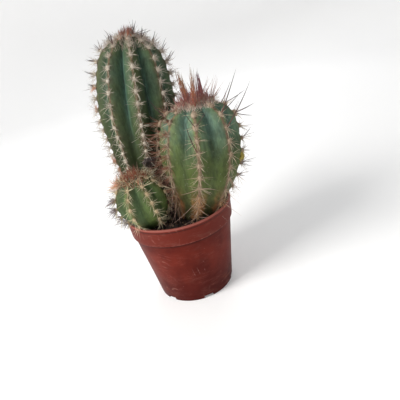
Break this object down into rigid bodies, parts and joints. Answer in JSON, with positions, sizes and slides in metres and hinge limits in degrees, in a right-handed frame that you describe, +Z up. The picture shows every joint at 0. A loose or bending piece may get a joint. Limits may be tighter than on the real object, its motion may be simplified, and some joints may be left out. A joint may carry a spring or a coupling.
{
  "type": "potted pilosocereus",
  "caption": "Small columnar cactus plants with ribbed, spiny stems, standing in soil in a little tapered plastic nursery pot.",
  "frame": {"origin": "centre of the pot's flat base, where it stands on a surface", "axes": "+Z up along the pot's axis, -Y towards the viewer of the picture, +X to the right"},
  "size_m": [0.0848, 0.0806, 0.1393],
  "materials": {
    "pot_plastic": "satin brick-red injection-moulded plastic, slightly scuffed",
    "soil": "rough dark potting mix",
    "tall_stem": "blue-green waxy cactus skin with cream areoles and spines",
    "round_stem": "mid-green waxy cactus skin with cream areoles and reddish crown spines",
    "small_stem": "bright green waxy cactus skin with cream areoles and spines"
  },
  "bodies": {
    "root": {"pot": "pot_plastic", "soil": "soil", "tall_stem": "tall_stem", "round_stem": "round_stem", "small_stem": "small_stem"}
  },
  "joints": []
}
